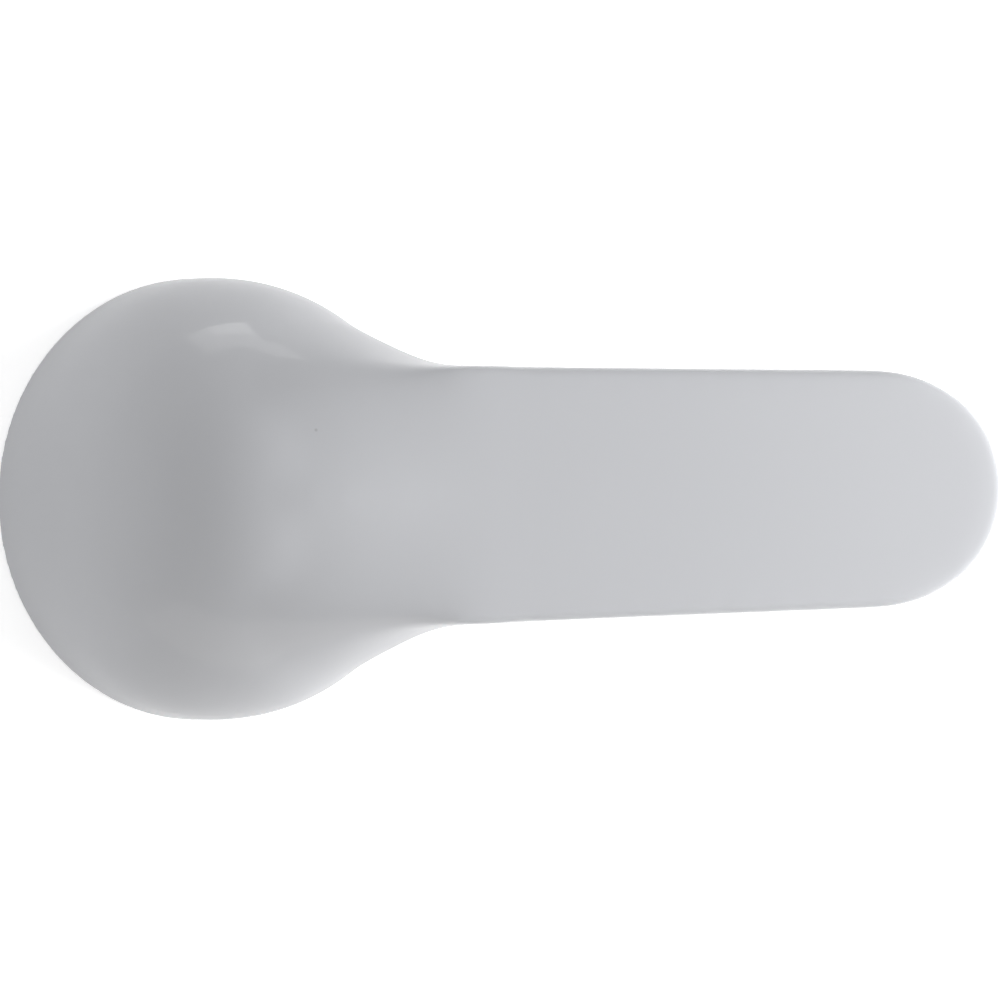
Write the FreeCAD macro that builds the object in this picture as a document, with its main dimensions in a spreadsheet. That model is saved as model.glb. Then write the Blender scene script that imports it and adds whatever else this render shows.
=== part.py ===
import FreeCAD, Part
import math
import os

import Sketcher

Vector = FreeCAD.Vector

doc = FreeCAD.newDocument("tap_handle")

# Driving dimensions, millimetres and degrees
sheet = doc.addObject("Spreadsheet::Sheet", "Dimensions")
DIMENSIONS = [
    ("cap_diameter", 46.0, "outside of the round cap, for a body built round a 35 or 40 mm cartridge"),
    ("skirt_height", 4.5, "straight skirt below the dome"),
    ("cap_wall", 2.6, "wall of the skirt and the dome"),
    ("rim_bevel", 0.5, "outer edge of the rim"),
    ("arm_reach", 78.0, "spindle axis to the tip, measured along the arm"),
    ("arm_rise", 6.0, "slope of the arm, degrees"),
    ("arm_level", 0.0, "arm's top, carried back to the spindle axis, below the dome's top by"),
    ("neck_reach", 15.1, "spindle axis to the root of the arm"),
    ("root_width", 26.5, "arm's width at its root"),
    ("tip_width", 25.0, "arm's width where its sides turn in to the tip"),
    ("shoulder_radius", 17.0, "arc between the arm's side and its nose"),
    ("nose_radius", 11.5, "arc at the very tip"),
    ("root_thickness", 8.6, "arm's thickness at its root"),
    ("tip_thickness", 5.0, "arm's thickness at its tip"),
    ("top_edge", 1.5, "radius along the arm's top"),
    ("lower_edge", 1.2, "radius along the arm's underside"),
    ("cove_slant", 8.0, "how far the underside's sweep into the cap reaches along the arm"),
    ("neck_over", 0.06, "how far the neck's skin stands over the arm's before it dips under"),
    ("recess_start", 31.2, "spindle axis to the recess under the arm"),
    ("recess_wall", 3.4, "wall left beside the recess"),
    ("recess_roof", 3.8, "thickness left above the recess"),
    ("recess_corner", 5.0, "corner of the recess's outline"),
    ("recess_bevel", 0.8, "inner edge of the recess"),
    ("boss_diameter", 17.0, "boss round the spindle socket"),
    ("boss_lift", 5.5, "rim to the lower end of the boss"),
    ("spindle_across", 8.0, "square spindle, across flats"),
    ("spindle_clearance", 0.1, "socket wider than the spindle by"),
    ("socket_depth", 12.5, "depth of the square socket"),
    ("web_width", 11.0, "solid web from the boss to the front wall"),
    ("rib_thickness", 2.2, "ribs from the boss to the wall"),
    ("rib_lift", 11.0, "rim to the lower edge of the ribs"),
    ("screw_diameter", 5.0, "set screw"),
    ("screw_length", 9.0, "set screw"),
    ("screw_height", 9.5, "rim to the axis of the set screw"),
    ("screw_clearance", 0.05, "radial play of the screw in its hole"),
    ("screw_bevel", 0.5, "bevel at the screw's mouth; its point has twice this"),
    ("screw_back", 0.4, "screw's point drawn back from the socket's wall"),
    ("key_across", 2.5, "hexagon key, across flats"),
    ("key_depth", 2.6, "depth of the hexagon socket"),
    ("plug_diameter", 7.0, "push-in plug"),
    ("plug_clearance", 0.05, "radial play of the plug in its recess"),
    ("plug_seat", 6.2, "seat of the plug, in from the cap's side"),
    ("plug_proud", 0.15, "plug's face outside the dome"),
    ("plug_wall", 1.2, "wall of the hollow plug"),
    ("plug_hollow", 3.0, "depth of the plug's hollow"),
]
for row, (name, value, note) in enumerate(DIMENSIONS, start=1):
    sheet.set("A%d" % row, note)
    sheet.set("B%d" % row, str(value))
    sheet.setAlias("B%d" % row, name)
doc.recompute()


def size(name):
    return float(sheet.get(name))


def bind(target, **expressions):
    for prop, expression in expressions.items():
        target.setExpression(prop.replace("__", "."), expression)


def dim(expression):
    # Writes every alias in an expression as a reference to the sheet
    words = expression.split(" ")
    names = {name for name, value, note in DIMENSIONS}
    return " ".join("Dimensions." + word if word in names else word for word in words)


def origin_plane(body, role):
    for feature in body.Origin.OriginFeatures:
        if feature.Role == role:
            return feature
    raise ValueError("no plane " + role)


def plane_sketch(body, role, name):
    sketch = body.newObject("Sketcher::SketchObject", name)
    sketch.AttachmentSupport = [(origin_plane(body, role), "")]
    sketch.MapMode = "FlatFace"
    return sketch


def closed_profile(sketch, points):
    # Straight closed outline; returns the index of each line
    lines = []
    for start, end in zip(points, points[1:] + points[:1]):
        lines.append(sketch.addGeometry(Part.LineSegment(Vector(*start, 0), Vector(*end, 0))))
    for line, after in zip(lines, lines[1:] + lines[:1]):
        sketch.addConstraint(Sketcher.Constraint("Coincident", line, 2, after, 1))
    return lines


def drive(sketch, constraint, name, expression):
    index = sketch.addConstraint(constraint)
    sketch.renameConstraint(index, name)
    sketch.setExpression("Constraints." + name, dim(expression))


def revolved(body, sketch, name):
    turn = body.newObject("PartDesign::Revolution", name)
    turn.Profile = sketch
    turn.ReferenceAxis = (sketch, ["V_Axis"])
    turn.Angle = 360
    return turn


def cap_form():
    # Skirt with a quarter-round dome, turned about the spindle's axis
    body = doc.addObject("PartDesign::Body", "cap_form")
    sketch = plane_sketch(body, "XZ_Plane", "cap_section")
    radius, skirt = size("cap_diameter") / 2, size("skirt_height")
    base = sketch.addGeometry(Part.LineSegment(Vector(0, 0, 0), Vector(radius, 0, 0)))
    wall = sketch.addGeometry(Part.LineSegment(Vector(radius, 0, 0), Vector(radius, skirt, 0)))
    quarter = Part.Circle(Vector(0, skirt, 0), Vector(0, 0, 1), radius)
    dome = sketch.addGeometry(Part.ArcOfCircle(quarter, 0, math.pi / 2))
    axis = sketch.addGeometry(Part.LineSegment(Vector(0, skirt + radius, 0), Vector(0, 0, 0)))
    sketch.addConstraint(Sketcher.Constraint("Coincident", base, 1, -1, 1))
    sketch.addConstraint(Sketcher.Constraint("Coincident", base, 2, wall, 1))
    sketch.addConstraint(Sketcher.Constraint("Coincident", wall, 2, dome, 1))
    sketch.addConstraint(Sketcher.Constraint("Coincident", dome, 2, axis, 1))
    sketch.addConstraint(Sketcher.Constraint("Coincident", axis, 2, base, 1))
    sketch.addConstraint(Sketcher.Constraint("Horizontal", base))
    sketch.addConstraint(Sketcher.Constraint("Vertical", wall))
    sketch.addConstraint(Sketcher.Constraint("Vertical", axis))
    sketch.addConstraint(Sketcher.Constraint("PointOnObject", dome, 3, -2))
    sketch.addConstraint(Sketcher.Constraint("Horizontal", wall, 2, dome, 3))
    drive(sketch, Sketcher.Constraint("DistanceY", wall, 1, wall, 2, skirt), "skirt", "skirt_height")
    drive(sketch, Sketcher.Constraint("DistanceX", base, 1, base, 2, radius), "radius", "cap_diameter / 2")
    turn = revolved(body, sketch, "cap_turn")
    doc.recompute()
    rim = [
        "Edge%d" % index
        for index, edge in enumerate(turn.Shape.Edges, start=1)
        if edge.BoundBox.ZMax < 0.001 and edge.BoundBox.XLength > size("cap_diameter") * 0.9
    ]
    soft = body.newObject("PartDesign::Chamfer", "rim_edge")
    soft.Base = (turn, rim)
    bind(soft, Size=dim("rim_bevel"))
    return body


def cap_hollow():
    # Straight bore up to the dome, then two drafted steps that keep the wall even below the dome
    body = doc.addObject("PartDesign::Body", "cap_hollow")
    sketch = plane_sketch(body, "XZ_Plane", "hollow_section")
    inner, skirt = size("cap_diameter") / 2 - size("cap_wall"), size("skirt_height")
    steps = (33, 60)
    points = [(0, 0), (inner, 0), (inner, skirt)]
    for angle in steps:
        lean = math.radians(angle)
        points.append((inner * math.cos(lean), skirt + inner * math.sin(lean)))
    points.append((0, points[-1][1]))
    lines = closed_profile(sketch, points)
    base, wall, ceiling, axis = lines[0], lines[1], lines[-2], lines[-1]
    sketch.addConstraint(Sketcher.Constraint("Coincident", base, 1, -1, 1))
    for line in (base, ceiling):
        sketch.addConstraint(Sketcher.Constraint("Horizontal", line))
    for line in (wall, axis):
        sketch.addConstraint(Sketcher.Constraint("Vertical", line))
    reach = "( cap_diameter / 2 - cap_wall )"
    drive(sketch, Sketcher.Constraint("DistanceX", base, 1, base, 2, inner), "bore", reach)
    drive(sketch, Sketcher.Constraint("DistanceY", wall, 1, wall, 2, skirt), "skirt", "skirt_height")
    for line, angle in zip(lines[2:], steps):
        end = sketch.Geometry[line].EndPoint
        turn = "( %d * 1 deg )" % angle
        across = Sketcher.Constraint("DistanceX", -1, 1, line, 2, end.x)
        drive(sketch, across, "across_%d" % angle, reach + " * cos" + turn)
        up = Sketcher.Constraint("DistanceY", -1, 1, line, 2, end.y)
        drive(sketch, up, "up_%d" % angle, "skirt_height + " + reach + " * sin" + turn)
    revolved(body, sketch, "hollow_turn")
    return body


def arm_point(along, across, down):
    # Point in the arm's own frame: along its slope, across it, and down from its top
    rise = math.radians(size("arm_rise"))
    level = size("skirt_height") + size("cap_diameter") / 2 - size("arm_level")
    x = along * math.cos(rise) + down * math.sin(rise)
    return Vector(x, across, level + along * math.sin(rise) - down * math.cos(rise))


def thickness(along):
    share = (along - size("neck_reach")) / (size("arm_reach") - size("neck_reach"))
    return size("root_thickness") + (size("tip_thickness") - size("root_thickness")) * share


def shoulder_centre():
    # Along the arm and across it; the shoulder's arc runs into the nose without a corner
    shoulder, nose = size("shoulder_radius"), size("nose_radius")
    beyond = shoulder - size("tip_width") / 2
    back = math.sqrt((shoulder - nose) ** 2 - beyond ** 2)
    return size("arm_reach") - nose - back, -beyond


def half_width(along):
    # Straight side from the root, tangent to the shoulder
    root = size("root_width") / 2
    centre, across = shoulder_centre()
    run, drop = centre - size("neck_reach"), root - across
    taper = math.acos(size("shoulder_radius") / math.hypot(drop, run)) - math.atan2(run, drop)
    return root - (along - size("neck_reach")) * math.tan(taper)


def bar_row(along, slant, inset):
    # Control points of half a section of the arm, from its lower centre round to its upper centre.
    # The underside lies further along the arm by slant, and the whole section is drawn in by inset.
    corner_pull = 1.75
    low = along + slant
    wide = half_width(along) - inset
    base = thickness(low) - inset
    low_soft = corner_pull * size("lower_edge")
    high_soft = corner_pull * size("top_edge")
    low_corner = arm_point(low, wide, base)
    high_corner = arm_point(along, wide, inset)
    side = high_corner - low_corner
    return [
        arm_point(low, 0, base),
        arm_point(low, wide * 0.5, base),
        arm_point(low, wide - low_soft, base),
        low_corner,
        low_corner + side * (low_soft / side.Length),
        low_corner + side * 0.5,
        high_corner - side * (high_soft / side.Length),
        high_corner,
        arm_point(along, wide - high_soft, inset),
        arm_point(along, wide * 0.5, inset),
        arm_point(along, 0, inset),
    ]


def foot_row(share, low_swell, high_swell):
    # Loop round the arm's foot, just under or over the dome, by compass angle and height angle
    outer = [(0, 13), (19, 13), (36, 12.5), (50, 12.5), (62, 14.5), (75, 19.5), (90, 29), (108, 40)]
    outer += [(124, 50), (148, 58.5), (180, 64)]
    inner = [(0, 24), (16.5, 23.6), (32, 23), (43, 22.8), (54, 24), (66, 29.7), (80, 39.4), (101, 47.7)]
    inner += [(123, 61), (90, 68.5), (180, 90)]
    row = []
    for index, (start, end) in enumerate(zip(outer, inner)):
        turn = math.radians(start[0] + (end[0] - start[0]) * share)
        lift = math.radians(start[1] + (end[1] - start[1]) * share)
        swell = low_swell + (high_swell - low_swell) * index / (len(outer) - 1)
        radius = size("cap_diameter") / 2 + swell
        flat = radius * math.cos(lift)
        height = size("skirt_height") + radius * math.sin(lift)
        row.append(Vector(flat * math.cos(turn), flat * math.sin(turn), height))
    return row


def mixed_row(first, second, share, across_share, rise_share):
    # Between two sections, with shares of their own for the width and for the height of the top
    row = []
    for index, (a, b) in enumerate(zip(first, second)):
        point = a + (b - a) * share
        point.y = a.y + (b.y - a.y) * across_share
        rise = share + (rise_share - share) * index / (len(first) - 1)
        point.z = a.z + (b.z - a.z) * rise
        row.append(point)
    return row


def neck_rows():
    # From under the dome's skin, out over the neck, and in again under the arm's skin
    neck, slant, over = size("neck_reach"), size("cove_slant"), size("neck_over")
    sunk, flush, swell, crest = -0.4, -0.05, 0.3, 0.77
    rows = [foot_row(0, sunk, sunk), foot_row(0.5, flush, swell), foot_row(1, flush, crest)]
    foot, root = rows[-1], bar_row(neck, slant, -over)
    for shares in ((0.3, 0.5, 0.42), (0.6, 1, 0.68), (1, 1, 1)):
        rows.append(mixed_row(foot, root, *shares))
    for reach, lean, inset in ((1.35, 0.6, -over), (1.6, 0.25, over), (1.8, 0, 3 * over)):
        rows.append(bar_row(neck * reach, slant * lean, inset))
    return rows


def skin(rows, along_degree):
    # Surface that a net of control points gives
    across_degree = 3

    def knots(count, degree):
        spans = count - degree
        return [degree + 1] + [1] * (spans - 1) + [degree + 1], list(range(spans + 1))

    u_mults, u_knots = knots(len(rows), along_degree)
    v_mults, v_knots = knots(len(rows[0]), across_degree)
    surface = Part.BSplineSurface()
    surface.buildFromPolesMultsKnots(
        rows, u_mults, v_mults, u_knots, v_knots, False, False, along_degree, across_degree
    )
    return surface.toShape()


def neck_form():
    # Both halves of the skin, closed by a cone to a point inside the cap and one inside the arm
    rows = neck_rows()
    in_cap = Vector(0, 0, size("skirt_height"))
    in_arm = (rows[-1][0] + rows[-1][-1]) * 0.5
    faces = []
    for mirror in (1, -1):
        half = [[Vector(p.x, p.y * mirror, p.z) for p in row] for row in rows]
        faces.append(skin(half, 3))
        for end, point in ((half[0], in_cap), (half[-1], in_arm)):
            faces.append(skin([end, [point] * len(end)], 1))
    shell = Part.makeShell(faces)
    shell.sewShape()
    solid = Part.makeSolid(shell)
    if solid.Volume < 0:
        solid.reverse()
    feature = doc.addObject("Part::Feature", "neck_form")
    feature.Shape = solid
    return feature


def along_arm(body, drop):
    # Tilts a body to the arm's slope, so that its XY plane is the arm's top lowered by drop
    turn = FreeCAD.Rotation(Vector(0, -1, 0), size("arm_rise"))
    body.Placement = FreeCAD.Placement(Vector(0, 0, 0), turn)
    bind(body, Placement__Rotation__Angle=dim("arm_rise * 1 deg"))
    bind(body, Placement__Base__z=dim("skirt_height + cap_diameter / 2 - arm_level - " + drop))


def slot_outline(sketch, start, start_rule, across_rule, inset, inset_rule):
    # Tapered outline with a nose between two shoulders, drawn in from the arm's own outline by inset
    nose_radius, turn_radius = size("nose_radius") - inset, size("shoulder_radius") - inset
    nose_centre = size("arm_reach") - size("nose_radius")
    wide = size("root_width") / 2 - inset
    centre, across = shoulder_centre()
    meet = math.atan2(-across, nose_centre - centre)
    straight = math.pi / 2

    def arc(x, y, radius, first, last):
        circle = Part.Circle(Vector(x, y, 0), Vector(0, 0, 1), radius)
        return sketch.addGeometry(Part.ArcOfCircle(circle, first, last))

    right_end = Vector(centre, -across - turn_radius, 0)
    left_end = Vector(centre, across + turn_radius, 0)
    right = sketch.addGeometry(Part.LineSegment(Vector(start, -wide, 0), right_end))
    right_turn = arc(centre, -across, turn_radius, -straight, -meet)
    nose = arc(nose_centre, 0, nose_radius, -meet, meet)
    left_turn = arc(centre, across, turn_radius, meet, straight)
    left = sketch.addGeometry(Part.LineSegment(left_end, Vector(start, wide, 0)))
    root = sketch.addGeometry(Part.LineSegment(Vector(start, wide, 0), Vector(start, -wide, 0)))
    chain = [right, right_turn, nose, left_turn, left]
    for line, after in zip(chain, chain[1:]):
        sketch.addConstraint(Sketcher.Constraint("Tangent", line, 2, after, 1))
    sketch.addConstraint(Sketcher.Constraint("Coincident", left, 2, root, 1))
    sketch.addConstraint(Sketcher.Constraint("Coincident", root, 2, right, 1))
    sketch.addConstraint(Sketcher.Constraint("PointOnObject", nose, 3, -1))
    sketch.addConstraint(Sketcher.Constraint("Symmetric", root, 1, root, 2, -1))
    drive(sketch, Sketcher.Constraint("Radius", nose, nose_radius), "nose", "nose_radius - " + inset_rule)
    turn_rule = "shoulder_radius - " + inset_rule
    beyond_rule = "shoulder_radius - tip_width / 2"
    drive(sketch, Sketcher.Constraint("Radius", right_turn, turn_radius), "right_shoulder", turn_rule)
    drive(sketch, Sketcher.Constraint("Radius", left_turn, turn_radius), "left_shoulder", turn_rule)
    drive(sketch, Sketcher.Constraint("DistanceY", -1, 1, right_turn, 3, -across), "right_beyond", beyond_rule)
    drive(sketch, Sketcher.Constraint("DistanceY", left_turn, 3, -1, 1, -across), "left_beyond", beyond_rule)
    drive(sketch, Sketcher.Constraint("DistanceX", -1, 1, nose, 3, nose_centre), "nose_centre",
          "arm_reach - nose_radius")
    drive(sketch, Sketcher.Constraint("DistanceX", -1, 1, root, 1, start), "start", start_rule)
    drive(sketch, Sketcher.Constraint("Distance", root, 2 * wide), "root_across", across_rule)


def edges_where(shape, test):
    return ["Edge%d" % index for index, edge in enumerate(shape.Edges, start=1) if test(edge.BoundBox)]


def rounded(body, base, name, names, radius):
    soft = body.newObject("PartDesign::Fillet", name)
    soft.Base = (base, names)
    bind(soft, Radius=dim(radius))
    doc.recompute()
    return soft


def arm_form():
    # Flat bar with a full round tip, thinner towards the tip, with soft edges
    body = doc.addObject("PartDesign::Body", "arm_form")
    outline = plane_sketch(body, "XY_Plane", "arm_outline")
    slot_outline(outline, size("neck_reach"), "neck_reach", "root_width", 0, "0")
    bar = body.newObject("PartDesign::Pad", "arm_bar")
    bar.Profile = outline
    bar.Reversed = True
    bind(bar, Length=dim("2 * root_thickness"))
    under = plane_sketch(body, "XZ_Plane", "arm_underside")
    near, far = size("neck_reach"), 1.1 * size("arm_reach") - 0.1 * size("neck_reach")
    deep = 3 * size("root_thickness")
    corners = [(near, -thickness(near)), (far, -thickness(far)), (far, -deep), (near, -deep)]
    slope, end, floor, start = closed_profile(under, corners)
    for line in (end, start):
        under.addConstraint(Sketcher.Constraint("Vertical", line))
    under.addConstraint(Sketcher.Constraint("Horizontal", floor))
    for name, line, value, rule in (
        ("near", slope, near, "neck_reach"),
        ("far", end, far, "1.1 * arm_reach - 0.1 * neck_reach"),
    ):
        drive(under, Sketcher.Constraint("DistanceX", -1, 1, line, 1, value), name, rule)
    for name, line, value, rule in (
        ("near_depth", slope, thickness(near), "root_thickness"),
        ("far_depth", end, thickness(far), "1.1 * tip_thickness - 0.1 * root_thickness"),
        ("floor_depth", floor, deep, "3 * root_thickness"),
    ):
        drive(under, Sketcher.Constraint("DistanceY", line, 1, -1, 1, value), name, rule)
    doc.recompute()
    cut = body.newObject("PartDesign::Pocket", "arm_taper")
    cut.Profile = under
    cut.Type = "ThroughAll"
    cut.Midplane = True
    doc.recompute()
    top = edges_where(cut.Shape, lambda box: box.ZMin > -0.001 and box.XLength > 1)
    soft = rounded(body, cut, "arm_top_edge", top, "top_edge")
    lowest = -size("tip_thickness") * 0.8
    low = edges_where(soft.Shape, lambda box: box.ZMax < lowest and box.XLength > 1)
    bevel = body.newObject("PartDesign::Chamfer", "arm_low_edge")
    bevel.Base = (soft, low)
    bind(bevel, Size=dim("lower_edge"))
    along_arm(body, "0")
    return body


def placed_box(name, length, width, height, x, y, z):
    box = doc.addObject("Part::Box", name)
    bind(box, Length=dim(length), Width=dim(width), Height=dim(height))
    bind(box, Placement__Base__x=dim(x), Placement__Base__y=dim(y), Placement__Base__z=dim(z))
    return box


def placed_rod(name, radius, length, x):
    # Cylinder along X at the height of the set screw
    rod = doc.addObject("Part::Cylinder", name)
    rod.Placement = FreeCAD.Placement(Vector(0, 0, 0), FreeCAD.Rotation(Vector(0, 1, 0), 90))
    bind(rod, Radius=dim(radius), Height=dim(length))
    bind(rod, Placement__Base__x=dim(x), Placement__Base__z=dim("screw_height"))
    return rod


def joined(kind, name, first, second):
    result = doc.addObject(kind, name)
    result.Base = first
    result.Tool = second
    return result


def fused(name, pieces):
    result = doc.addObject("Part::MultiFuse", name)
    result.Shapes = pieces
    return result


def cap_core():
    # What the casting keeps inside the cap: boss, front web and thin ribs, up to the dome
    height = "skirt_height + cap_diameter / 2 - boss_lift"
    boss = doc.addObject("Part::Cylinder", "boss")
    bind(boss, Radius=dim("boss_diameter / 2"), Height=dim(height))
    bind(boss, Placement__Base__z=dim("boss_lift"))
    web = placed_box("web", "cap_diameter / 2", "web_width", height, "0", "- web_width / 2", "boss_lift")
    rib_height = "skirt_height + cap_diameter / 2 - rib_lift"
    cross_rib = placed_box("cross_rib", "rib_thickness", "cap_diameter", rib_height,
                           "- rib_thickness / 2", "- cap_diameter / 2", "rib_lift")
    back_rib = placed_box("back_rib", "cap_diameter / 2", "rib_thickness", rib_height,
                          "- cap_diameter / 2", "- rib_thickness / 2", "rib_lift")
    return fused("cap_core", [boss, web, cross_rib, back_rib])


def arm_recess():
    # Hollow under the arm, following its outline and open downwards
    body = doc.addObject("PartDesign::Body", "arm_recess")
    outline = plane_sketch(body, "XY_Plane", "recess_outline")
    slot_outline(outline, size("recess_start"), "recess_start", "root_width - 2 * recess_wall",
                 size("recess_wall"), "recess_wall")
    pad = body.newObject("PartDesign::Pad", "recess_depth")
    pad.Profile = outline
    pad.Reversed = True
    bind(pad, Length=dim("2 * root_thickness"))
    doc.recompute()
    near = size("recess_start") + 0.001
    upright = edges_where(pad.Shape, lambda box: box.ZLength > 1 and box.XMax < near)
    corners = rounded(body, pad, "recess_corners", upright, "recess_corner")
    roof = edges_where(corners.Shape, lambda box: box.ZMin > -0.001)
    soft = body.newObject("PartDesign::Chamfer", "recess_edge")
    soft.Base = (corners, roof)
    bind(soft, Size=dim("recess_bevel"))
    along_arm(body, "recess_roof")
    return body


def lever_body():
    outer = fused("outer_form", [cap_form(), neck_form(), arm_form()])
    cavity = joined("Part::Cut", "cavity", cap_hollow(), cap_core())
    cast = joined("Part::Cut", "casting", outer, cavity)
    across = "spindle_across + spindle_clearance"
    corner = "- ( spindle_across + spindle_clearance ) / 2"
    socket = placed_box("socket", across, across, "boss_lift + socket_depth", corner, corner, "0")
    hole = placed_rod("screw_hole", "screw_diameter / 2 + screw_clearance", "cap_diameter / 2", "0")
    recess = placed_rod("plug_recess", "plug_diameter / 2 + plug_clearance", "cap_diameter / 2",
                        "cap_diameter / 2 - plug_seat")
    cuts = fused("cuts", [socket, hole, recess, arm_recess()])
    body = joined("Part::Cut", "lever_body", cast, cuts)
    body.Label = "lever_body"
    return body


def grub_screw():
    body = doc.addObject("PartDesign::Body", "screw_form")
    sketch = plane_sketch(body, "XZ_Plane", "screw_section")
    radius, length, bevel = size("screw_diameter") / 2, size("screw_length"), size("screw_bevel")
    outline = [(0, 0), (radius - 2 * bevel, 0), (radius, 2 * bevel), (radius, length - bevel)]
    outline += [(radius - bevel, length), (0, length)]
    lines = closed_profile(sketch, outline)
    point, flank, shank, lip, face, axis = lines
    sketch.addConstraint(Sketcher.Constraint("Coincident", point, 1, -1, 1))
    for line in (point, face):
        sketch.addConstraint(Sketcher.Constraint("Horizontal", line))
    for line in (shank, axis):
        sketch.addConstraint(Sketcher.Constraint("Vertical", line))
    drive(sketch, Sketcher.Constraint("DistanceY", axis, 2, axis, 1, length), "length", "screw_length")
    drive(sketch, Sketcher.Constraint("DistanceX", axis, 2, shank, 1, radius), "radius", "screw_diameter / 2")
    for name, kind, line, factor in (
        ("point_width", "DistanceX", flank, 2),
        ("point_height", "DistanceY", flank, 2),
        ("lip_height", "DistanceY", lip, 1),
    ):
        rule = Sketcher.Constraint(kind, line, 1, line, 2, factor * bevel)
        drive(sketch, rule, name, "%d * screw_bevel" % factor)
    lip_rule = Sketcher.Constraint("DistanceX", lip, 2, lip, 1, bevel)
    drive(sketch, lip_rule, "lip_width", "screw_bevel")
    revolved(body, sketch, "screw_turn")
    key = doc.addObject("Part::Prism", "key_socket")
    key.Polygon = 6
    bind(key, Circumradius=dim("key_across / sqrt( 3 )"), Height=dim("key_depth"))
    bind(key, Placement__Base__z=dim("screw_length - key_depth"))
    screw = joined("Part::Cut", "grub_screw", body, key)
    screw.Label = "grub_screw"
    screw.Placement = FreeCAD.Placement(Vector(0, 0, 0), FreeCAD.Rotation(Vector(0, 1, 0), 90))
    start = "( spindle_across + spindle_clearance ) / 2 + screw_back"
    bind(screw, Placement__Base__x=dim(start), Placement__Base__z=dim("screw_height"))
    return screw


def screw_plug():
    # Push-in plug whose face follows the dome
    seat = "cap_diameter / 2 - plug_seat"
    rod = placed_rod("plug_rod", "plug_diameter / 2", "cap_diameter / 2", seat)
    dome = doc.addObject("Part::Sphere", "plug_dome")
    bind(dome, Radius=dim("cap_diameter / 2 + plug_proud"), Placement__Base__z=dim("skirt_height"))
    solid = joined("Part::Common", "plug_solid", rod, dome)
    hollow = placed_rod("plug_hollow_rod", "plug_diameter / 2 - plug_wall", "plug_hollow", seat)
    plug = joined("Part::Cut", "screw_plug", solid, hollow)
    plug.Label = "screw_plug"
    return plug


pieces = [lever_body(), grub_screw(), screw_plug()]
doc.recompute()
for item in doc.Objects:
    if "Invalid" in item.State or "Error" in item.State:
        raise RuntimeError("failed: " + item.Name)
for piece in pieces:
    if piece.Shape.isNull() or not piece.Shape.isValid() or len(piece.Shape.Solids) != 1:
        raise RuntimeError("bad solid: " + piece.Label)
os.makedirs("parts", exist_ok=True)
for piece in pieces:
    piece.Shape.exportStep("parts/%s.step" % piece.Label)
    box = piece.Shape.BoundBox
    spans = (box.XLength, box.YLength, box.ZLength)
    print(piece.Label, "%.0f mm3" % piece.Shape.Volume, "%.2f x %.2f x %.2f mm" % spans)
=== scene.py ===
# Tap handle: a lacquered lever with its set screw and plug, standing on a plain pale floor.
import math

import bpy
import numpy as np
from mathutils import Matrix, Vector


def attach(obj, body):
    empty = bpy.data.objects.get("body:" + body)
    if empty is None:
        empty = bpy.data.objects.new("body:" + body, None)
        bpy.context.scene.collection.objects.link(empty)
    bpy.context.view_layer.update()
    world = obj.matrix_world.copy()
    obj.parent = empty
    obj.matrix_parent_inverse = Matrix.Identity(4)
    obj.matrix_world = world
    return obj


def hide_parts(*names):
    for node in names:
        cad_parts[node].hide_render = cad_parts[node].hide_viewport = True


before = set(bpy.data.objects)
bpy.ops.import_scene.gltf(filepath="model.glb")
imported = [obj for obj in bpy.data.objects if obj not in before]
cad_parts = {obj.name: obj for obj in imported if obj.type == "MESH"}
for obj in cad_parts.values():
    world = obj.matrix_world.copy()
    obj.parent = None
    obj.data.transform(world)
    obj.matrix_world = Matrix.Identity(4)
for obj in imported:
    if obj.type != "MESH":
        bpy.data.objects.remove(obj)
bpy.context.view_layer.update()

scene = bpy.context.scene
scene.view_settings.view_transform = "Standard"
mm = 0.001
print("frame loaded with", ", ".join(sorted(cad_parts)))


# helpers for the node trees
def freshMaterial(name):
    material = bpy.data.materials.new(name)
    material.use_nodes = True
    tree = material.node_tree
    return material, tree, tree.nodes["Principled BSDF"]


def addNode(tree, kind, place, **settings):
    node = tree.nodes.new(kind)
    node.location = place
    for key, value in settings.items():
        setattr(node, key, value)
    return node


def feed(tree, socket, value):
    # a linked socket where value is one, else a fixed number or colour
    if isinstance(value, bpy.types.NodeSocket):
        tree.links.new(value, socket)
    else:
        socket.default_value = value


def objectCoords(tree):
    return addNode(tree, "ShaderNodeTexCoord", (-1700, 0)).outputs["Object"]


def noiseOn(tree, coords, size, detail, place):
    noise = addNode(tree, "ShaderNodeTexNoise", place)
    noise.inputs["Scale"].default_value = 1 / size   # size of one blotch in metres
    noise.inputs["Detail"].default_value = detail
    tree.links.new(coords, noise.inputs["Vector"])
    return noise.outputs["Fac"]


def mathOf(tree, operation, first, second, place):
    node = addNode(tree, "ShaderNodeMath", place, operation=operation)
    feed(tree, node.inputs[0], first)
    feed(tree, node.inputs[1], second)
    return node.outputs[0]


def rangeOf(tree, value, source, target, place):
    ramp = addNode(tree, "ShaderNodeMapRange", place)
    for name, number in zip(("From Min", "From Max", "To Min", "To Max"), (*source, *target)):
        feed(tree, ramp.inputs[name], number)
    tree.links.new(value, ramp.inputs["Value"])
    return ramp.outputs["Result"]


def mixColours(tree, factor, first, second, place):
    mix = addNode(tree, "ShaderNodeMix", place, data_type="RGBA")
    colourIn = [s for s in mix.inputs if s.type == "RGBA"]
    for socket, colour in zip(colourIn, (first, second)):
        feed(tree, socket, (*colour, 1) if isinstance(colour, tuple) else colour)
    tree.links.new(factor, mix.inputs["Factor"])
    return [s for s in mix.outputs if s.type == "RGBA"][0]


def bumpOn(tree, height, depth, strength, place, below=None):
    bump = addNode(tree, "ShaderNodeBump", place)
    bump.inputs["Distance"].default_value = depth
    feed(tree, bump.inputs["Strength"], strength)
    tree.links.new(height, bump.inputs["Height"])
    if below:
        tree.links.new(below, bump.inputs["Normal"])
    return bump.outputs["Normal"]


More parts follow.
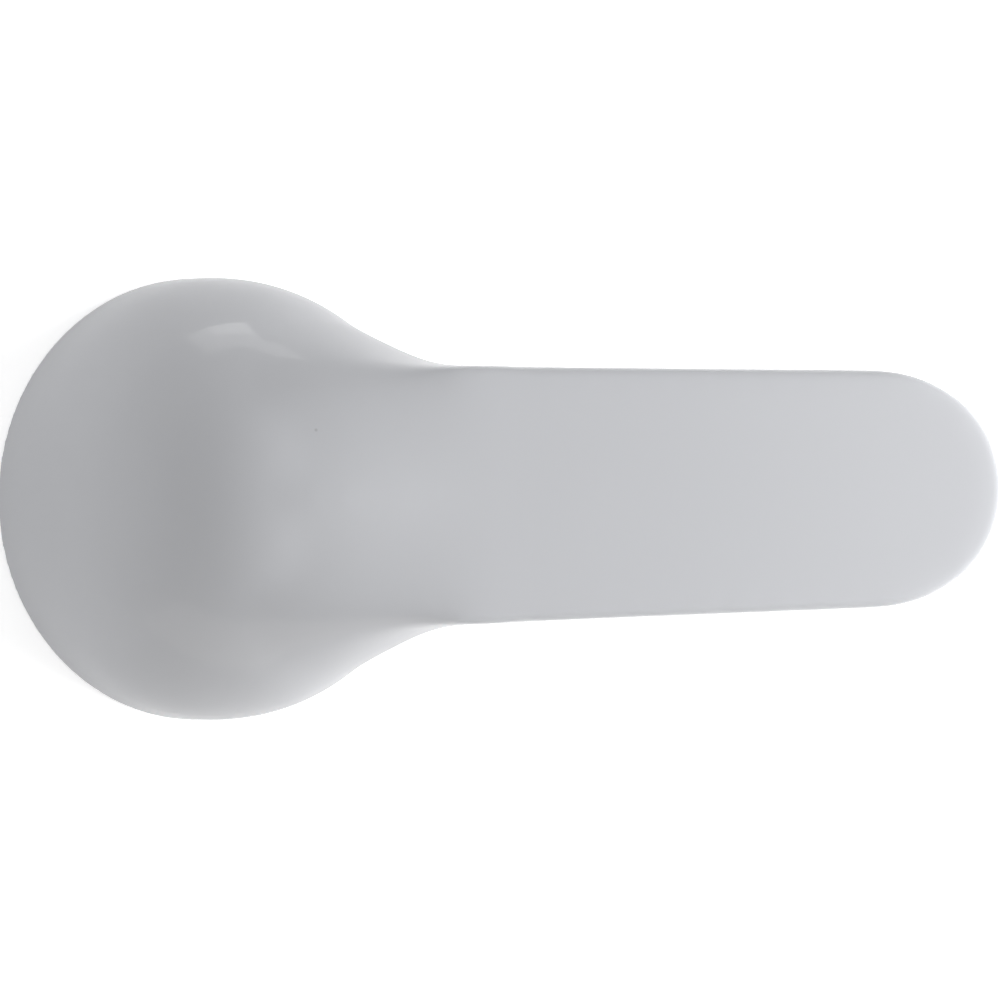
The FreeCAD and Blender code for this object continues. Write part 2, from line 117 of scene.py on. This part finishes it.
noiseMiddle = (0.3, 0.7)   # where nearly all of a noise's values lie

lacquer = {
    "light": (0.545, 0.553, 0.576),
    "deep": (0.524, 0.532, 0.555),
    "cloudSize": 30 * mm,
    "cloudDetail": 2.0,
    "roughness": (0.45, 0.55),
    "wipeSize": 9 * mm,
    "wipeDetail": 3.0,
    "shine": 0.1,                                        # specular level of the pigment under the gloss
    "gloss": 0.34,
    "glossRoughness": 0.06,
    "glossIor": 1.5,
    "peelSize": 1.6 * mm,                                # faint orange peel of the spray
    "peelDetail": 1.0,
    "peelDepth": 0.004 * mm,
    "peelStrength": 0.5,
    "nibCell": 6 * mm,                                   # one dust nib in about this much skin
    "nibRadius": (0.05 * mm, 0.11 * mm),                 # full shade inside the first, none past the second
    "nibShade": 0.25,
    "pinhole": (0.07 * mm, 6.82 * mm, 26.85 * mm),       # the one dark speck, beside the middle of the crown
    "pinholeRadius": (0.09 * mm, 0.21 * mm),
    "pinholeShade": 0.45,
    "speck": (0.30, 0.30, 0.31),
}

# the spray thins out inside the cap and leaves the casting's own grey
castInside = {
    "skirtTop": 4.5 * mm,
    "radius": (21.5 * mm, 21.9 * mm),      # between the inner and the outer skin of the cap
    "sprayReach": (1.0 * mm, 11.0 * mm),   # heights where the paint starts to thin and where it is gone
    "sprayDrift": 5.0 * mm,                # how far that wanders up and down
    "driftSize": 7 * mm,
    "driftDetail": 3.0,
    "light": (0.40, 0.40, 0.41),
    "deep": (0.29, 0.29, 0.30),
    "grain": 0.5 * mm,
    "grainDetail": 3.0,
    "grainDepth": 0.03 * mm,
    "roughness": 0.6,
    "glossLeft": 0.04,                     # gloss on the bare casting
}


def speckOn(tree, distance, radius, shade, place):
    # shade at the middle of a speck, falling to nothing at its rim
    return rangeOf(tree, distance, radius, (shade, 0.0), place)


def insideCap(tree, coords):
    # 0 on the outer skin and at the rim, 1 deep inside the cap
    split = addNode(tree, "ShaderNodeSeparateXYZ", (-1450, -700))
    tree.links.new(coords, split.inputs[0])
    above = mathOf(tree, "SUBTRACT", split.outputs["Z"], castInside["skirtTop"], (-1250, -800))
    above = mathOf(tree, "MAXIMUM", above, 0.0, (-1080, -800))
    joined = addNode(tree, "ShaderNodeCombineXYZ", (-900, -700))
    for name, value in (("X", split.outputs["X"]), ("Y", split.outputs["Y"]), ("Z", above)):
        tree.links.new(value, joined.inputs[name])
    reach = addNode(tree, "ShaderNodeVectorMath", (-730, -700), operation="LENGTH")
    tree.links.new(joined.outputs[0], reach.inputs[0])
    hollow = rangeOf(tree, reach.outputs["Value"], castInside["radius"], (1.0, 0.0), (-560, -700))
    drift = noiseOn(tree, coords, castInside["driftSize"], castInside["driftDetail"], (-1250, -1000))
    drift = rangeOf(tree, drift, noiseMiddle, (0.0, castInside["sprayDrift"]), (-1080, -1000))
    depth = mathOf(tree, "ADD", split.outputs["Z"], drift, (-900, -950))
    bare = rangeOf(tree, depth, castInside["sprayReach"], (0.0, 1.0), (-730, -950))
    return mathOf(tree, "MULTIPLY", hollow, bare, (-380, -800))


def lacquerMaterial():
    material, tree, shader = freshMaterial("gloss_lacquer")
    coords = objectCoords(tree)
    cloud = noiseOn(tree, coords, lacquer["cloudSize"], lacquer["cloudDetail"], (-1250, 400))
    colour = mixColours(tree, cloud, lacquer["deep"], lacquer["light"], (-900, 450))
    nibs = addNode(tree, "ShaderNodeTexVoronoi", (-1250, 650))
    nibs.inputs["Scale"].default_value = 1 / lacquer["nibCell"]
    tree.links.new(coords, nibs.inputs["Vector"])
    nibDistance = mathOf(tree, "MULTIPLY", nibs.outputs["Distance"], lacquer["nibCell"], (-1080, 650))
    nib = speckOn(tree, nibDistance, lacquer["nibRadius"], lacquer["nibShade"], (-900, 700))
    fromPinhole = addNode(tree, "ShaderNodeVectorMath", (-1250, 900), operation="DISTANCE")
    tree.links.new(coords, fromPinhole.inputs[0])
    fromPinhole.inputs[1].default_value = lacquer["pinhole"]
    pinhole = speckOn(tree, fromPinhole.outputs["Value"], lacquer["pinholeRadius"],
                      lacquer["pinholeShade"], (-900, 950))
    specks = mathOf(tree, "MAXIMUM", nib, pinhole, (-700, 800))
    colour = mixColours(tree, specks, colour, lacquer["speck"], (-500, 550))
    inside = insideCap(tree, coords)
    grain = noiseOn(tree, coords, castInside["grain"], castInside["grainDetail"], (-900, 200))
    metal = mixColours(tree, grain, castInside["deep"], castInside["light"], (-500, 300))
    tree.links.new(mixColours(tree, inside, colour, metal, (-250, 450)), shader.inputs["Base Color"])
    wipe = noiseOn(tree, coords, lacquer["wipeSize"], lacquer["wipeDetail"], (-900, -50))
    rough = rangeOf(tree, wipe, noiseMiddle, lacquer["roughness"], (-500, 50))
    rough = rangeOf(tree, inside, (0.0, 1.0), (rough, castInside["roughness"]), (-250, 100))
    tree.links.new(rough, shader.inputs["Roughness"])
    peel = noiseOn(tree, coords, lacquer["peelSize"], lacquer["peelDetail"], (-900, -300))
    skin = bumpOn(tree, peel, lacquer["peelDepth"], lacquer["peelStrength"], (-500, -350))
    skin = bumpOn(tree, grain, castInside["grainDepth"], inside, (-250, -400), skin)
    tree.links.new(skin, shader.inputs["Normal"])
    gloss = rangeOf(tree, inside, (0.0, 1.0), (lacquer["gloss"], castInside["glossLeft"]), (-250, -150))
    tree.links.new(gloss, shader.inputs["Coat Weight"])
    shader.inputs["Coat Roughness"].default_value = lacquer["glossRoughness"]
    shader.inputs["Coat IOR"].default_value = lacquer["glossIor"]
    shader.inputs["Specular IOR Level"].default_value = lacquer["shine"]
    return material


weldDistance = 0.001 * mm   # a node's mesh is loose triangles, so its copies are merged first


def weldedCopy(nodeName, pieceName):
    bpy.ops.object.select_all(action="DESELECT")
    piece = bpy.data.objects.new(pieceName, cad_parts[nodeName].data.copy())
    scene.collection.objects.link(piece)
    piece.data.materials.clear()
    bpy.context.view_layer.objects.active = piece
    piece.select_set(True)
    bpy.ops.object.mode_set(mode="EDIT")
    bpy.ops.mesh.select_all(action="SELECT")
    bpy.ops.mesh.remove_doubles(threshold=weldDistance)
    bpy.ops.mesh.customdata_custom_splitnormals_clear()
    bpy.ops.object.mode_set(mode="OBJECT")
    return piece


def applyModifier(piece, name, kind, **settings):
    modifier = piece.modifiers.new(name, kind)
    for key, value in settings.items():
        setattr(modifier, key, value)
    bpy.ops.object.modifier_apply(modifier=name)


def declare(piece, nodeName):
    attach(piece, "root")
    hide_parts(nodeName)


leverSkin = {
    "grain": 0.45 * mm,        # spacing of the fine mesh
    "edgeRounds": 4,           # passes that round the cast edges
    "settleRounds": 2,         # passes after the edges are laid back on the solid
    "skinRounds": 60,          # passes that even out the open skin
    "passShare": 0.5,          # how far one pass moves a point towards its neighbours' mean
    "spreadRounds": 8,         # passes that average the normals before they are judged
    "sharpAt": 0.93,           # mean normal shorter than this counts as an edge
    "openAt": 0.985,           # and longer than this as open skin
}


def openSkinWeights(mesh):
    # near 1 on the broad faces, 0 where the normals of a neighbourhood differ, as along an edge
    count = len(mesh.vertices)
    normals = np.empty(count * 3)
    mesh.vertices.foreach_get("normal", normals)
    ends = np.empty(len(mesh.edges) * 2, int)
    mesh.edges.foreach_get("vertices", ends)
    first, second = ends.reshape(-1, 2).T
    mean = normals.reshape(-1, 3)
    links = np.bincount(first, minlength=count) + np.bincount(second, minlength=count) + 1
    for turn in range(leverSkin["spreadRounds"]):
        total = mean.copy()
        for axis in range(3):
            total[:, axis] += np.bincount(first, mean[second, axis], count)
            total[:, axis] += np.bincount(second, mean[first, axis], count)
        mean = total / links[:, None]
    length = np.linalg.norm(mean, axis=1)
    share = np.clip((length - leverSkin["sharpAt"]) / (leverSkin["openAt"] - leverSkin["sharpAt"]), 0, 1)
    return share * share * (3 - 2 * share)   # eased at both ends


def makeLever():
    lever = weldedCopy("lever_body", "lever")
    applyModifier(lever, "fineMesh", "REMESH", mode="VOXEL", voxel_size=leverSkin["grain"])
    share = leverSkin["passShare"]
    applyModifier(lever, "castEdges", "SMOOTH", factor=share, iterations=leverSkin["edgeRounds"])
    openSkin = lever.vertex_groups.new(name="openSkin")
    for index, weight in enumerate(openSkinWeights(lever.data)):
        openSkin.add([index], weight, "REPLACE")
    applyModifier(lever, "fullEdges", "SHRINKWRAP", target=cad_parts["lever_body"],
                  wrap_method="NEAREST_SURFACEPOINT", wrap_mode="ON_SURFACE",
                  vertex_group="openSkin", invert_vertex_group=True)
    applyModifier(lever, "settledEdges", "SMOOTH", factor=share, iterations=leverSkin["settleRounds"])
    applyModifier(lever, "evenSkin", "SMOOTH", factor=share, iterations=leverSkin["skinRounds"],
                  vertex_group="openSkin")
    bpy.ops.object.shade_smooth()
    lever.data.materials.append(lacquerMaterial())
    declare(lever, "lever_body")
    print("lever:", len(lever.data.polygons), "faces")


plugPlastic = {
    "light": (0.515, 0.523, 0.543),
    "deep": (0.485, 0.493, 0.513),
    "roughness": (0.42, 0.52),
    "cloudSize": 3 * mm,
    "cloudDetail": 3.0,
    "grain": 0.22 * mm,          # eroded mould texture
    "grainDetail": 2.0,
    "grainDepth": 0.008 * mm,
    "grainStrength": 0.6,
}


def plugMaterial():
    material, tree, shader = freshMaterial("plug_plastic")
    coords = objectCoords(tree)
    cloud = noiseOn(tree, coords, plugPlastic["cloudSize"], plugPlastic["cloudDetail"], (-900, 250))
    colour = mixColours(tree, cloud, plugPlastic["deep"], plugPlastic["light"], (-500, 250))
    tree.links.new(colour, shader.inputs["Base Color"])
    grain = noiseOn(tree, coords, plugPlastic["grain"], plugPlastic["grainDetail"], (-900, -100))
    rough = rangeOf(tree, grain, noiseMiddle, plugPlastic["roughness"], (-500, 0))
    tree.links.new(rough, shader.inputs["Roughness"])
    skin = bumpOn(tree, grain, plugPlastic["grainDepth"], plugPlastic["grainStrength"], (-500, -250))
    tree.links.new(skin, shader.inputs["Normal"])
    return material


screwSteel = {
    "light": (0.46, 0.46, 0.47),
    "deep": (0.36, 0.36, 0.365),
    "roughness": (0.26, 0.40),
    "tarnish": 1.5 * mm,
    "tarnishDetail": 4.0,
    "toolMarks": 0.12 * mm,      # spacing of the turned lines round the shank
    "markStretch": (1.0, 0.04, 0.04),   # the screw lies along x, so the lines run round it
    "markDetail": 2.0,
    "markDepth": 0.004 * mm,
    "markStrength": 0.6,
}


def screwMaterial():
    material, tree, shader = freshMaterial("turned_steel")
    shader.inputs["Metallic"].default_value = 1.0
    coords = objectCoords(tree)
    stain = noiseOn(tree, coords, screwSteel["tarnish"], screwSteel["tarnishDetail"], (-900, 250))
    colour = mixColours(tree, stain, screwSteel["deep"], screwSteel["light"], (-500, 250))
    tree.links.new(colour, shader.inputs["Base Color"])
    stretched = addNode(tree, "ShaderNodeMapping", (-1200, -150))
    stretched.inputs["Scale"].default_value = screwSteel["markStretch"]
    tree.links.new(coords, stretched.inputs["Vector"])
    marks = noiseOn(tree, stretched.outputs[0], screwSteel["toolMarks"], screwSteel["markDetail"],
                    (-900, -150))
    rough = rangeOf(tree, marks, noiseMiddle, screwSteel["roughness"], (-500, 0))
    tree.links.new(rough, shader.inputs["Roughness"])
    skin = bumpOn(tree, marks, screwSteel["markDepth"], screwSteel["markStrength"], (-500, -250))
    tree.links.new(skin, shader.inputs["Normal"])
    return material


creaseAngle = 35   # degrees; flatter corners of the screw and the plug are shaded smooth


def makeSmall(nodeName, pieceName, material):
    piece = weldedCopy(nodeName, pieceName)
    bpy.ops.object.shade_smooth_by_angle(angle=math.radians(creaseAngle))
    applyModifier(piece, "evenNormals", "WEIGHTED_NORMAL", mode="FACE_AREA", keep_sharp=True)
    piece.data.materials.append(material)
    declare(piece, nodeName)
    print(pieceName + ":", len(piece.data.polygons), "faces")


makeLever()
makeSmall("grub_screw", "set_screw", screwMaterial())
makeSmall("screw_plug", "plug", plugMaterial())

floorLook = {"radius": 0.4, "sides": 96, "white": 0.85, "glow": 0.58}


def backgroundRays(tree):
    # 1 for the rays that show the background: straight to the lens, off gloss and through glass
    path = addNode(tree, "ShaderNodeLightPath", (-600, 200))
    shown = path.outputs["Is Camera Ray"]
    for place, name in ((-300, "Is Glossy Ray"), (-100, "Is Transmission Ray")):
        shown = mathOf(tree, "MAXIMUM", shown, path.outputs[name], (place, 200))
    return shown


def makeFloor():
    bpy.ops.object.select_all(action="DESELECT")
    bpy.ops.mesh.primitive_circle_add(vertices=floorLook["sides"], radius=floorLook["radius"],
                                      fill_type="NGON")
    floor = bpy.context.active_object
    floor.name = "floor"
    material = bpy.data.materials.new("pale_floor")
    material.use_nodes = True
    tree = material.node_tree
    tree.nodes.clear()
    out = addNode(tree, "ShaderNodeOutputMaterial", (600, 0))
    level = mathOf(tree, "MULTIPLY", backgroundRays(tree), floorLook["glow"], (50, 200))
    glow = addNode(tree, "ShaderNodeEmission", (200, 150))
    tree.links.new(level, glow.inputs["Strength"])
    paper = addNode(tree, "ShaderNodeBsdfDiffuse", (200, -50))
    paper.inputs["Color"].default_value = (floorLook["white"],) * 3 + (1,)
    both = addNode(tree, "ShaderNodeAddShader", (400, 0))
    tree.links.new(glow.outputs[0], both.inputs[0])
    tree.links.new(paper.outputs[0], both.inputs[1])
    tree.links.new(both.outputs[0], out.inputs["Surface"])
    floor.data.materials.append(material)


makeFloor()

worldLevel = 0.20   # the light that the surroundings give, without any lamp


def makeWorld():
    world = bpy.data.worlds.new("studio")
    scene.world = world
    world.use_nodes = True
    tree = world.node_tree
    tree.nodes.clear()
    out = addNode(tree, "ShaderNodeOutputWorld", (600, 0))
    strength = rangeOf(tree, backgroundRays(tree), (0.0, 1.0), (worldLevel, 1.0), (0, 200))
    sky = addNode(tree, "ShaderNodeBackground", (300, 0))
    sky.inputs["Color"].default_value = (1, 1, 1, 1)
    tree.links.new(strength, sky.inputs["Strength"])
    tree.links.new(sky.outputs[0], out.inputs["Surface"])


makeWorld()

lampCentre = Vector((30 * mm, 0.0, 15 * mm))
plainWhite = (1.0, 1.0, 1.0)
warmWhite = (1.0, 0.96, 0.90)

# bearing from the arm's direction, height angle, distance, width, watts and tint; out of sight in the gloss
softLamps = {
    "near_right": (-15, 30, 0.24, 0.20, 0.34, plainWhite),
    "right_front": (-20, 32, 0.50, 0.15, 1.08, plainWhite),
    "right_back": (20, 32, 0.50, 0.15, 1.15, plainWhite),
    "back": (90, 14, 0.50, 0.30, 0.35, plainWhite),
    "front": (-90, 14, 0.50, 0.30, 0.20, warmWhite),
    "left": (180, 14, 0.50, 0.35, 0.92, plainWhite),
    "overhead": (0, 89, 0.50, 0.35, 0.26, plainWhite),
}

# pale cards that only the gloss mirrors: two low behind the cap for the highlight on its shoulder,
# and a broad warm one in front, whose upper edge ends along the cap's near side
highlightCards = {
    "wide_card": {"place": (2 * mm, 100 * mm, 17 * mm), "facing": (0, -1, 0),
                  "width": 40 * mm, "height": 28 * mm, "watts": 0.0077, "tint": plainWhite},
    "bright_card": {"place": (10 * mm, 98 * mm, 10 * mm), "facing": (0, -1, 0),
                    "width": 26 * mm, "height": 14 * mm, "watts": 0.0021, "tint": plainWhite},
    "front_card": {"place": (-30 * mm, -200 * mm, 53 * mm), "facing": (0, 1, 0),
                   "width": 220 * mm, "height": 104 * mm, "watts": 0.086, "tint": warmWhite},
}


def addLamp(name, place, aim, width, height, watts):
    bpy.ops.object.light_add(type="AREA", location=place)
    lamp = bpy.context.active_object
    lamp.name = name
    lamp.data.shape = "RECTANGLE"
    lamp.data.size = width
    lamp.data.size_y = height
    lamp.data.energy = watts
    lamp.rotation_euler = (Vector(aim) - Vector(place)).to_track_quat("-Z", "Y").to_euler()
    lamp.visible_camera = False
    return lamp


def makeLamps():
    for name, (bearing, rise, distance, width, watts, tint) in softLamps.items():
        turn, lift = math.radians(bearing), math.radians(rise)
        out = Vector((math.cos(turn) * math.cos(lift), math.sin(turn) * math.cos(lift), math.sin(lift)))
        lamp = addLamp(name, lampCentre + out * distance, lampCentre, width, width, watts)
        lamp.data.color = tint
        lamp.visible_glossy = False
    for name, card in highlightCards.items():
        ahead = Vector(card["place"]) + Vector(card["facing"])
        lamp = addLamp(name, card["place"], ahead, card["width"], card["height"], card["watts"])
        lamp.data.color = card["tint"]
        lamp.visible_diffuse = False


makeLamps()

photoCamera = {
    "aim": (30 * mm, 0.0, 15 * mm),
    "lean": 29.650,       # degrees back from straight overhead, towards the cap
    "sideLean": -0.067,
    "roll": 0.866,
    "distance": 797.780 * mm,
    "slide": (-1.619 * mm, -0.599 * mm),
    "lens": 274.70,
    "sensor": 36.0,
    "nearest": 10 * mm,   # nothing closer than this is drawn
}


def makeCamera():
    lean, sideLean, roll = (math.radians(photoCamera[k]) for k in ("lean", "sideLean", "roll"))
    right = Vector((math.cos(lean), 0, math.sin(lean)))
    back = Vector((-math.sin(lean), 0, math.cos(lean)))
    up = Vector((0, 1, 0)) * math.cos(sideLean) + back * math.sin(sideLean)
    back = back * math.cos(sideLean) - Vector((0, 1, 0)) * math.sin(sideLean)
    across = right * math.cos(roll) - up * math.sin(roll)
    upright = right * math.sin(roll) + up * math.cos(roll)
    place = Vector(photoCamera["aim"]) + back * photoCamera["distance"]
    place += across * photoCamera["slide"][0] + upright * photoCamera["slide"][1]
    camera = bpy.data.objects.new("photo_camera", bpy.data.cameras.new("photo_camera"))
    scene.collection.objects.link(camera)
    camera.data.sensor_width = photoCamera["sensor"]
    camera.data.lens = photoCamera["lens"]
    camera.data.clip_start = photoCamera["nearest"]
    turn = Matrix((across, upright, back)).transposed()
    camera.matrix_world = Matrix.Translation(place) @ turn.to_4x4()
    scene.camera = camera


makeCamera()
print("studio ready")
